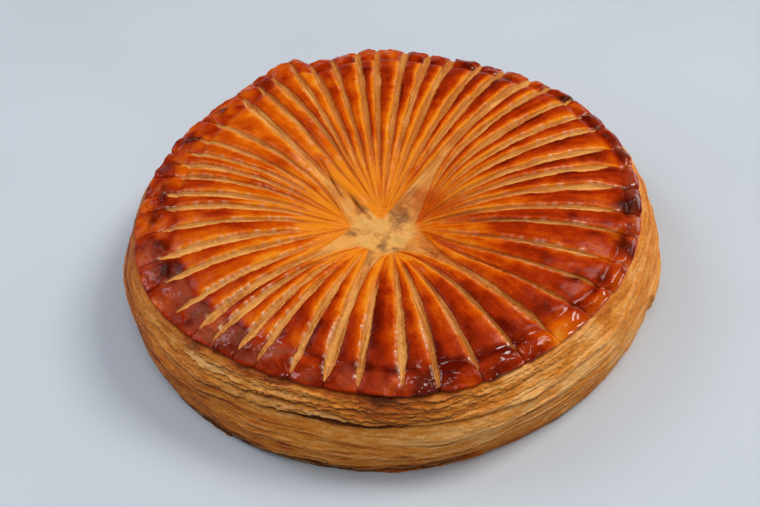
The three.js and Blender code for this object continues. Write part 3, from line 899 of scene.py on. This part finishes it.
def thick_leaves(side):
    """Offset of the thick leaves, sag of their lips, and the shadow in the gaping crevice.

    A leaf leans out downwards and bulges. A crevice is a notch that fades slowly
    below the leaf's edge and at once above it, and the lip over it sags.
    """
    offset, sag, shadow = 0, 0, 0
    level, calm, upper = side.level, side.calm, side.top + MM
    for k, (edge, face, crevice) in enumerate(leaf_lines(side.bearing)):
        gaping = k == CRACK["leaf"]
        s = unit((upper - level) / np.maximum(upper - edge, MM))
        within = (level <= upper) & (level > edge)
        offset += within * face * (mix(0.2, 0.8, s) + 0.35 * arch(s))
        open_part = (0.55 + 0.45 * side.wobble(36, 80 + k)) * (1 - 0.7 * side.smooth - 0.55 * side.pale)
        if gaping:
            open_part = np.maximum(open_part, ease(calm, 0.1, 0.5)) * (1 - 0.75 * side.zone("crack_end"))
        elif k == CRACK["leaf"] + 1:
            open_part = open_part * (1 - 0.8 * calm)
        below, above = np.maximum(edge - level, 0), np.maximum(level - edge, 0)
        gape = 0.6 * MM + 2.4 * MM * calm * gaping
        notch = np.where(level < edge, np.exp(-below / gape), np.exp(-above / (0.15 * MM)))
        offset = offset - crevice * open_part * notch
        if gaping:
            past_middle = ease(turn_between(side.bearing, 266), 0, 8)
            tall = (mix(0.36, 0.14, past_middle) + 0.30 * side.zone("crack_gapes")) * MM
            deep = 1 - ease(below, 4.1 * tall, (4.8 + 0.6 * side.quick) * tall)
            shadow = ease(calm, 0.25, 0.5) * (level < edge) * deep
        lip = np.where(level >= edge, bell(above - 0.5 * MM, 0.7 * MM), 0)
        sag += lip * np.minimum(crevice * open_part, 2 * MM) * 0.35 * (1 - 0.8 * calm)
        upper = edge
    return offset, sag, shadow


def thin_leaves(side):
    """Offset of leaves, flakes and crumbs, each layer warped by its own noise, and which one is where."""
    ragged, crumbly = side.ragged, side.crumbly
    quiet = 1 - 0.9 * side.calm * bell(side.level - 24.5 * MM, 4 * MM) - 0.7 * side.smooth
    quiet = quiet - 0.65 * side.pale - 0.2 * ragged
    warp = 0.9 * side.grain(17, 4, 74) + 0.35 * side.grain(70, 9, 75)
    leaves, leaf = overlapping_leaves(side, warp, LEAF_LAYER)
    warp = warp * 2.2 + 0.35 * side.grain(110, 22, 76) + 0.3 * (ragged + crumbly) * side.grain(300, 36, 77)
    flakes, flake = overlapping_leaves(side, warp, FLAKE_LAYER)
    low_front = side.zone("low_front") * (1 - ease(side.up, 0.45, 0.6))
    flaked = np.clip(0.5 + 0.75 * ragged + 0.2 * crumbly - 0.3 * side.smooth + 0.45 * low_front, 0, 1.3)
    warp = warp * 2 + 0.8 * side.grain(210, 40, 78)
    crumbs, _ = overlapping_leaves(side, warp, CRUMB_LAYER)
    crumbed = unit(0.1 + 0.55 * ragged + 0.65 * crumbly - 0.3 * side.pale)
    crumbs = crumbs * (0.5 + 0.5 * side.grain(160, 20, 79))
    return (leaves + flakes * flaked + crumbs * crumbed) * quiet, leaf, flake


def side_marks(side):
    """Offset of single marks: a ledge past the right corner, a blister like an eyelid, and the grain."""
    past_corner = turn_between(side.bearing, 336)
    ledge = ease(past_corner, 0, 1.2) * (1 - ease(past_corner, 8, 22)) * bell(side.level - 11 * MM, 6 * MM)
    eyelid = side.zone("eyelid") * bell(side.level - 29.3 * MM, 1.1 * MM)
    folds = bell(side.level - 31.2 * MM, 0.5 * MM) + bell(side.level - 27.6 * MM, 0.5 * MM)
    grain = 0.08 * side.grain(900, 90, 91) + 0.16 * side.grain(420, 44, 92)
    grain = grain * (1 + 0.8 * side.ragged + 0.7 * side.crumbly) + 0.35 * side.grain(90, 12, 95)
    return (1.8 * ledge + 1.2 * eyelid - 0.8 * side.zone("eye") * folds + grain) * MM


def side_brown(side, leaf, flake):
    """How brown the side is: each leaf and flake in its own tone, darker at the foot and to the left, with
    painted shade under the lid and painted light on the front.
    """
    around, up = side.bearing / 360, side.up
    brown = 0.48 + (0.20 - 0.1 * side.pale) * own_noise(around, leaf, 12, 230)
    brown += 0.10 * own_noise(around, flake, 60, 231) + 0.12 * side.grain(30, 5, 93)
    brown += 0.10 * side.grain(110, 16, 94) + 0.10 * side.crumbly
    # Darker just under the lid: glaze drips and painted shade under its edge.
    brown += 0.30 * ease(up, 0.88, 0.98) * (0.1 + 0.3 * side.zone("low_front"))
    brown += (0.05 + 0.9 * side.zone("scorched_foot")) * ease(0.115 - up + 0.02 * side.middle, 0, 0.03)
    brown = brown - 0.05 * side.zone("pale_corner") - 0.21 * np.cos(np.radians(side.bearing + 25))
    brown += 0.4 * side.zone("brown_ledge") * ease(side.height, 31 * MM, 37 * MM)
    # Painted light: the front is paler from its middle up.
    brown = brown - 0.07 * side.zone("painted_light_front") * ease(up, 0.35, 0.5)
    brown = brown - 0.15 * side.zone("fair_left") * bell(up - 0.80, 0.10)
    # Painted light: the leaf under the crack is made paler and even, to make up for the shade under the
    # overhang, over its golden tone.
    even = 0.9 * side.zone("brightened_leaf") * bell(side.level - 24 * MM, 5.5 * MM)
    return np.clip(mix(brown, 0.31 + 0.4 * (brown - 0.47), even), 0, 1.3)


def side_surface(sizes):
    """Points of the side and the values that its material reads.

    The radius is the smooth outline, plus the face of each thick leaf, minus the
    crevices at their edges, plus leaves of a few millimetres and, where the side
    is ragged or crumbly, ever thinner ones. Its top tucks in under the lid's edge.
    """
    side = side_grid(sizes)
    up = side.up
    thick, sag, shadow = thick_leaves(side)
    thin, leaf, flake = thin_leaves(side)
    offset = thick + thin + side_marks(side)
    tuck = unit((side.height - side.top) / TUCK + 1)
    offset = np.maximum(offset, mix(-9 * MM, -0.4 * MM, ease(up, 0.80, 0.93))) * (1 - tuck)
    radius = side_outline(sizes, side.bearing, side.height) + offset
    radius = radius - TUCK_DEPTH * (1 - np.sqrt(1 - tuck**2))
    angle = np.radians(side.bearing)
    axis = FOOT_AXIS + (LID_AXIS - FOOT_AXIS) * up[..., None]
    points = np.stack([
        axis[..., 0] + radius * np.cos(angle),
        axis[..., 1] + radius * np.sin(angle),
        np.maximum(side.height - sag * ease(up, 0.02, 0.1), 0),
    ], axis=-1)

    broad, narrow = offset - blurred(offset, 5), offset - blurred(offset, 2)
    proud = np.maximum(broad / (0.3 * MM), narrow / (0.12 * MM))
    # Painted shade: what lies under an overhang is darkened, and the painted shadow in the gaping crevice is
    # added.
    overhang_shade = 0.95 * overhang(offset, side.top.mean() / (len(offset) - 1), 14) - 0.28
    values = {
        "gap": unit(overhang_shade * (1 - 0.8 * side.pale) * (1 - ease(up, 0.90, 0.96)) + shadow),
        # Painted highlight on proud edges, over their real paler tone.
        "lip": unit(proud - 0.3) * (1 - 0.7 * side.zone("plain_lips") * ease(up, 0.3, 0.5)),
        "brown": side_brown(side, leaf, flake),
    }
    return points, values


# ------------------------------------------------------------ materials

ROUGH = {"Roughness": 0.6}  # how much of the finer steps a noise of the crust keeps


def fill(tree, node, inputs):
    """Sets or links the sockets of a node."""
    for key, value in inputs.items():
        if isinstance(value, bpy.types.NodeSocket):
            tree.links.new(value, node.inputs[key])
        else:
            node.inputs[key].default_value = value


def add_node(tree, kind, inputs=None, output=0, stops=(), **settings):
    """Adds a node with its settings, sockets and colour stops, and gives the socket of one output."""
    made = tree.nodes.new("ShaderNode" + kind)
    for key, value in settings.items():
        setattr(made, key, value)
    fill(tree, made, inputs or {})
    for index, (place, shade) in enumerate(stops):
        ramp = made.color_ramp.elements
        stop = ramp[index] if index < 2 else ramp.new(place)
        stop.position = place
        stop.color = (*shade, 1)
    return made.outputs[output]


def new_material(name, *carried):
    """A material, its tree, its shader, the piece's own coordinates, and the values that its mesh carries."""
    material = bpy.data.materials.new(name)
    material.use_nodes = True
    tree = material.node_tree
    place = add_node(tree, "TexCoord", output="Object")
    values = {key: add_node(tree, "Attribute", output="Fac", attribute_name=key) for key in carried}
    return material, tree, tree.nodes["Principled BSDF"], place, values


def scaled_sum(tree, start, *terms):
    """Socket of start plus each (socket, factor) about its middle value of a half."""
    total = start
    for socket, factor in terms:
        term = add_node(tree, "Math", {0: socket, 1: factor, 2: -factor / 2}, operation="MULTIPLY_ADD")
        total = add_node(tree, "Math", {0: total, 1: term}, operation="ADD")
    return total


def layered(tree, base, *layers):
    """Socket of a base colour under further ones, each laid over what is there by an amount."""
    for amount, shade in layers:
        base = add_node(tree, "Mix", {"Factor": amount, 6: base, 7: shade}, 2, data_type="RGBA")
    return base


def egg_washed_crust(colours):
    """Puff pastry brushed with egg and baked: a hard brown gloss on mottled crust, bare crumb in the cuts.

    The glaze gives sharp highlights on beads and pillows; the bare crumb is matt.
    A mauve layer paints a soft sheen on the band, pale froth partly paints glints,
    and the char colour also paints shade in cracks.
    """
    material, tree, shader, place, value = new_material(
        "egg_washed_crust", "pale", "toast", "char", "shade", "heart", "dry", "wet", "bead", "dull"
    )
    # Noises, each with the size of its blotches in mm and its detail.
    speckle, grain, patch, cloud = (
        add_node(tree, "TexNoise", {"Vector": place, "Scale": 1 / (size * MM), "Detail": detail, **ROUGH})
        for size, detail in ((0.8, 2), (2, 3), (4, 3), (8, 3))
    )
    baked = scaled_sum(tree, value["toast"], (cloud, 0.42), (speckle, 0.42))
    washes = (
        (0.08, colours.wash_pale), (0.32, colours.wash_gold),
        (0.66, colours.wash_brown), (1, colours.wash_dark),
    )
    glaze = add_node(tree, "ValToRGB", {"Fac": baked}, "Color", washes)
    toasted = scaled_sum(tree, value["shade"], (grain, 0.55), (speckle, 0.30))
    crumbs = ((0.1, colours.crumb), (0.85, colours.crumb_shade), (1, colours.dark_bake_and_shade))
    crumb = add_node(tree, "ValToRGB", {"Fac": toasted}, "Color", crumbs)
    dried = scaled_sum(tree, value["dry"], (patch, 1.1), (speckle, 0.5))
    hearts = ((0.2, colours.heart_pale), (0.5, colours.crumb), (1, colours.heart_grey))
    heart = add_node(tree, "ValToRGB", {"Fac": dried}, "Color", hearts)
    froth_and_glint_amount = add_node(tree, "Math", {0: value["bead"], 1: 0.8}, operation="MULTIPLY")
    fill(tree, shader, {
        "Base Color": layered(
            tree, glaze,
            (value["dull"], (*colours.dull, 1)),
            (value["char"], (*colours.char, 1)),
            (value["pale"], layered(tree, crumb, (value["heart"], heart))),
            (froth_and_glint_amount, (*colours.froth_and_glints, 1)),
        ),
        "Roughness": add_node(tree, "Mix", {"Factor": value["pale"], 2: 0.28, 3: 0.7}, data_type="FLOAT"),
        "Normal": add_node(tree, "Bump", {"Strength": 0.3, "Distance": 0.25 * MM, "Height": speckle}),
        "Coat Weight": value["wet"],
        "Coat Roughness": 0.09,
        "Coat IOR": 1.5,
        "IOR": 1.45,
        "Specular IOR Level": 0.06,
    })
    return material


def baked_leaves(colours):
    """Leaves of puff pastry seen edge on: dry, matt and golden, paler on thin edges with a painted highlight,
    dark between them with painted shade.
    """
    material, tree, shader, place, value = new_material("baked_leaves", "brown", "lip", "gap")
    noises = []
    # Each noise has how many times it is wider than tall, its width in mm and its detail.
    for flatness, size, detail in ((3.5, 9, 4), (8, 8, 4), (1, 1.4, 3)):
        squeezed = add_node(tree, "Mapping", {"Vector": place, "Scale": (1, 1, flatness)})
        inputs = {"Vector": squeezed, "Scale": 1 / (size * MM), "Detail": detail, **ROUGH}
        noises.append(add_node(tree, "TexNoise", inputs))
    streak, dashes, speckle = noises
    baked = scaled_sum(tree, value["brown"], (streak, 0.40), (dashes, 0.80), (speckle, 0.35))
    tones = (
        (0.05, colours.pale_edge_and_highlight), (0.35, colours.leaf_gold),
        (0.68, colours.leaf_brown), (1, colours.dark_bake_and_shade),
    )
    # The lip layer is a painted highlight over the edges' paler tone, the gap layer painted shade.
    lip, gap = (
        add_node(tree, "Math", {0: value[key], 1: most}, operation="MULTIPLY")
        for key, most in (("lip", 0.45), ("gap", 0.96))
    )
    fill(tree, shader, {
        "Base Color": layered(
            tree, add_node(tree, "ValToRGB", {"Fac": baked}, "Color", tones),
            (lip, (*colours.pale_edge_and_highlight, 1)),
            (gap, (*colours.dark_bake_and_shade, 1)),
        ),
        "Roughness": 0.62,
        "Normal": add_node(tree, "Bump", {"Strength": 0.7, "Distance": 0.4 * MM, "Height": dashes}),
        "IOR": 1.42,
        "Specular IOR Level": 0.25,
    })
    return material


def tray_baked_sole(colours):
    """Underside of the pie: dry brown crust, blotched where it met the tray."""
    material, tree, shader, place, _ = new_material("tray_baked_sole")
    blotch = add_node(tree, "TexNoise", {"Vector": place, "Scale": 1 / (14 * MM), "Detail": 5})
    tones = ((0.35, colours.leaf_brown), (0.65, colours.sole))
    fill(tree, shader, {
        "Base Color": add_node(tree, "ValToRGB", {"Fac": blotch}, "Color", tones),
        "Roughness": 0.75,
        "Normal": add_node(tree, "Bump", {"Strength": 0.4, "Distance": 0.5 * MM, "Height": blotch}),
    })
    return material


def honed_stone(stage):
    """Pale honed stone of a table top: matt, with faint cloudy patches."""
    material, tree, shader, place, _ = new_material("honed_stone")
    cloud = add_node(tree, "TexNoise", {"Vector": place, "Scale": 1 / (180 * MM), "Detail": 2})
    tones = ((0.3, [0.93 * c for c in stage.floor]), (0.7, stage.floor))
    fill(tree, shader, {
        "Base Color": add_node(tree, "ValToRGB", {"Fac": cloud}, "Color", tones),
        "Roughness": 0.45,
    })
    return material


# ------------------------------------------------------------ operators


class GALETTE_OT_lid(bpy.types.Operator):
    """Build the glazed lid in rings: crown, middle, shoulder and rim band"""

    bl_idname = "galette.lid"
    bl_label = "Lid"

    def execute(self, context):
        points, values = lid_surface(context.scene.galette_sizes)
        normals = grid_normals(points)
        glaze = egg_washed_crust(context.scene.galette_colours)
        start = 0
        for name, _, count in LID_RINGS:
            last = name == LID_RINGS[-1][0]
            grid = cut_rows(slice(start, None if last else start + count + 1), points, normals, values)
            if start:
                add_ring(name, grid, LID_AXIS, LID_INSET, glaze)
            else:
                self.add_crown(name, grid, glaze)
            start += count
        return {"FINISHED"}

    def add_crown(self, name, grid, glaze):
        """The middle of the lid: rings of points with a hub above, and a hidden skirt and hub below."""
        points, normals, values = grid
        points = np.concatenate([points, points[-1:] - [0, 0, LID_INSET[1]]])
        normals = np.concatenate([normals, -normals[-1:]])
        rows, columns = points.shape[:2]
        hub, pit = rows * columns, rows * columns + 1
        inner, outer = np.arange(columns), np.arange(columns) + (rows - 1) * columns
        top = np.stack([np.full(columns, hub), inner, np.roll(inner, -1)], axis=-1)
        bottom = np.stack([np.full(columns, pit), np.roll(outer, -1), outer], axis=-1)
        middle = points[0].mean(axis=0)
        vertices = np.concatenate([points.reshape(-1, 3), [middle, middle - [0, 0, HUB_DEPTH]]])
        # The hidden skirt repeats the last row's values, and both hubs take the first row's mean.
        kept = {
            key: np.concatenate([value.ravel(), value[-1], [value[0].mean()] * 2])
            for key, value in values.items()
        }
        bent = np.concatenate([normals.reshape(-1, 3), [[0, 0, 1], [0, 0, -1]]])
        add_piece(name, vertices, [grid_faces(rows, columns), top, bottom], glaze, kept, bent)


class GALETTE_OT_side(bpy.types.Operator):
    """Build the layered side in four rings, from the lid's edge to the table"""

    bl_idname = "galette.side"
    bl_label = "Side"

    def execute(self, context):
        points, values = side_surface(context.scene.galette_sizes)
        normals = grid_normals(points)
        leaves = baked_leaves(context.scene.galette_colours)
        for number, name in enumerate(SIDE_RINGS):
            rows = slice(number * SIDE_ROWS, (number + 1) * SIDE_ROWS + 1)
            add_ring(name, cut_rows(rows, points, normals, values), FOOT_AXIS, SIDE_INSET, leaves)
        return {"FINISHED"}


class GALETTE_OT_sole(bpy.types.Operator):
    """Build the sole that lay on the tray"""

    bl_idname = "galette.sole"
    bl_label = "Sole"

    columns, rows = 360, 60
    inset = 1.2 * MM  # how far it keeps inside the foot
    hole = 0.02  # share of the radius left open in the middle
    thickness = 2 * MM

    def execute(self, context):
        """A disc: a dented underside that is flat at its rim, folded over into a plain sheet above."""
        bearing = np.arange(self.columns) * 360 / self.columns
        part = np.linspace(1, self.hole, self.rows)[:, None]
        radius = (context.scene.galette_sizes.foot_radius + waves(bearing, FOOT_WAVES) - self.inset) * part
        x = FOOT_AXIS[0] + radius * np.cos(np.radians(bearing))
        y = FOOT_AXIS[1] + radius * np.sin(np.radians(bearing))
        dents = unit(Grid(x=x, y=y).spots(11, 95)) * 0.4 * MM * ease(1 - part, 0, 0.1)
        under = np.stack([x, y, dents], axis=-1)
        whole = np.concatenate([under, under[::-1] * [1, 1, 0] + [0, 0, self.thickness]])
        faces = grid_faces(*whole.shape[:2])
        add_piece("sole", whole.reshape(-1, 3), [faces], tray_baked_sole(context.scene.galette_colours))
        return {"FINISHED"}


LIT_POINT = Vector((0, 0, 0.03))  # where the lights point
AIM = (*(FOOT_AXIS + np.array([-4.07, 8.4]) * MM), 0)  # where the camera looks
FLOOR_REACH = 3.0


class GALETTE_OT_stage(bpy.types.Operator):
    """Set the pale table, the soft lights and the camera"""

    bl_idname = "galette.stage"
    bl_label = "Stage"

    def execute(self, context):
        stage = context.scene.galette_stage
        self.add_floor(stage)
        # Each light: name, place and width in metres, power, colour.
        self.add_light("window", (1.50, 0.55, 2.05), 1.0, stage.key_power, "#fffaf2")
        self.add_light("ceiling", (-0.25, -0.45, 1.5), 1.7, stage.top_power, "#f4f8ff").visible_glossy = False
        self.add_light("skylight", (0.1, -0.5, 1.9), 0.40, 0.7 * stage.top_power, "#fffaf4")
        self.add_light("far_window", (-1.2, 0.75, 1.45), 0.8, stage.far_power, "#f0f5ff")
        self.add_world(context.scene, stage)
        self.add_camera(context.scene, stage)
        return {"FINISHED"}

    def add_floor(self, stage):
        corners = [(x * FLOOR_REACH, y * FLOOR_REACH, 0) for x, y in ((-1, -1), (1, -1), (1, 1), (-1, 1))]
        mesh = bpy.data.meshes.new("table_top")
        mesh.from_pydata(corners, [], [(0, 1, 2, 3)])
        mesh.materials.append(honed_stone(stage))
        floor = bpy.data.objects.new("table_top", mesh)
        bpy.context.scene.collection.objects.link(floor)

    def add_light(self, name, place, size, power, code):
        light = bpy.data.lights.new(name, "AREA")
        light.size = size
        light.energy = power
        light.color = linear(code)
        lamp = bpy.data.objects.new(name, light)
        lamp.location = place
        lamp.rotation_euler = (LIT_POINT - Vector(place)).to_track_quat("-Z", "Y").to_euler()
        bpy.context.scene.collection.objects.link(lamp)
        return lamp

    def add_world(self, scene, stage):
        world = bpy.data.worlds.new("pale_room")
        world.use_nodes = True
        sky = world.node_tree.nodes["Background"]
        sky.inputs["Color"].default_value = (*linear("#e6edf5"), 1)
        sky.inputs["Strength"].default_value = stage.sky
        scene.world = world
        world.cycles_visibility.glossy = False  # its update needs the world in its scene
        scene.view_settings.view_transform = "Standard"

    def add_camera(self, scene, stage):
        lens = bpy.data.cameras.new("camera")
        lens.lens = stage.lens
        lens.sensor_width = 36
        camera = bpy.data.objects.new("camera", lens)
        ahead = Vector((0, math.cos(stage.elevation), -math.sin(stage.elevation)))
        turn = ahead.to_track_quat("-Z", "Y").to_matrix().to_4x4() @ Matrix.Rotation(stage.roll, 4, "Z")
        camera.matrix_world = Matrix.Translation(Vector(AIM) - ahead * stage.distance) @ turn
        scene.collection.objects.link(camera)
        scene.camera = camera


class GALETTE_PT_panel(bpy.types.Panel):
    """Lists the steps and the settings"""

    bl_idname = "GALETTE_PT_panel"
    bl_label = "Galette des rois"
    bl_space_type = "VIEW_3D"
    bl_region_type = "UI"
    bl_category = "Galette"

    def draw(self, context):
        for operator in OPERATORS:
            self.layout.operator(operator.bl_idname)
        for name, group in GROUPS.items():
            box = self.layout.box()
            box.label(text=group.__doc__)
            for key in group.__annotations__:
                box.prop(getattr(context.scene, name), key)


GROUPS = {"galette_sizes": GaletteSizes, "galette_colours": GaletteColours, "galette_stage": GaletteStage}
OPERATORS = (GALETTE_OT_lid, GALETTE_OT_side, GALETTE_OT_sole, GALETTE_OT_stage)
CLASSES = (*GROUPS.values(), *OPERATORS, GALETTE_PT_panel)


def register():
    for item in CLASSES:
        bpy.utils.register_class(item)
    for name, group in GROUPS.items():
        setattr(bpy.types.Scene, name, PointerProperty(type=group))


def unregister():
    for name in GROUPS:
        delattr(bpy.types.Scene, name)
    for item in reversed(CLASSES):
        bpy.utils.unregister_class(item)


def main():
    register()
    bpy.ops.galette.lid()
    bpy.ops.galette.side()
    bpy.ops.galette.sole()
    bpy.ops.galette.stage()
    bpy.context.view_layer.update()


if __name__ == "__main__":
    main()
